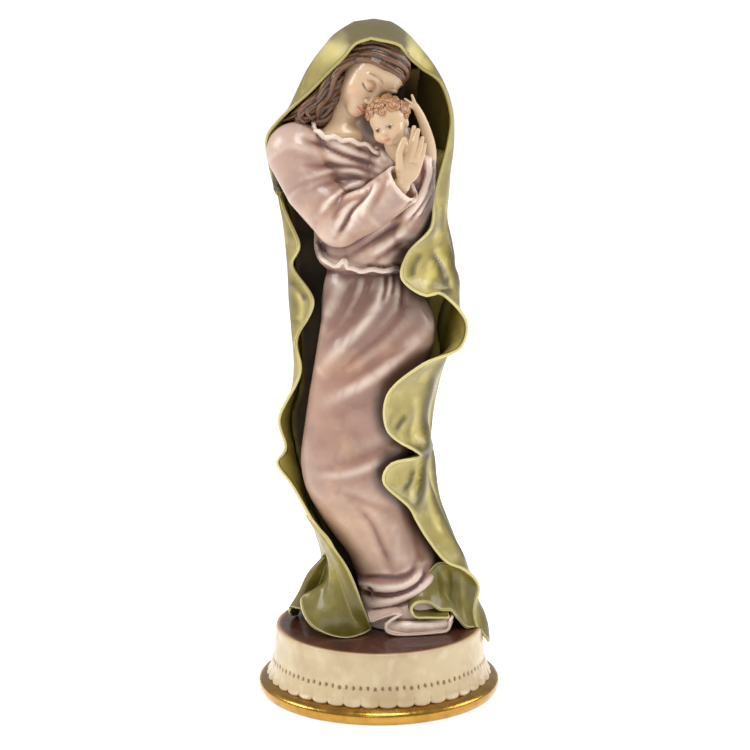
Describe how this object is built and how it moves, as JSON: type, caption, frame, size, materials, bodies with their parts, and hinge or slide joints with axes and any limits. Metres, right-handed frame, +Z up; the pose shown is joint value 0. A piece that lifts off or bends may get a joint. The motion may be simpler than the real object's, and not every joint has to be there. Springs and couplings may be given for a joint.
{
  "type": "virgin mary figurine",
  "caption": "Standing mother in a hooded mantle holding a child to her cheek, cast in glazed porcelain on a low round plinth with a scalloped apron and gilt rim.",
  "frame": {"origin": "middle of the plinth's underside", "axes": "+Z up the figure, -Y towards the front, +X to the right of the front view"},
  "size_m": [0.1266, 0.1266, 0.3491],
  "materials": {
    "mantle_glaze": "glossy olive green glaze, paler on the rims",
    "gown_glaze": "glossy dusty mauve glaze, darker in the folds",
    "skin_glaze": "glossy ivory glaze with a faint blush",
    "hair_glaze": "glossy brown glaze",
    "cream_glaze": "glossy cream glaze with a brown top",
    "gilding": "polished gilding on porcelain"
  },
  "bodies": {
    "root": {"madonna_and_child": "mantle_glaze", "plinth": "cream_glaze"}
  },
  "joints": []
}
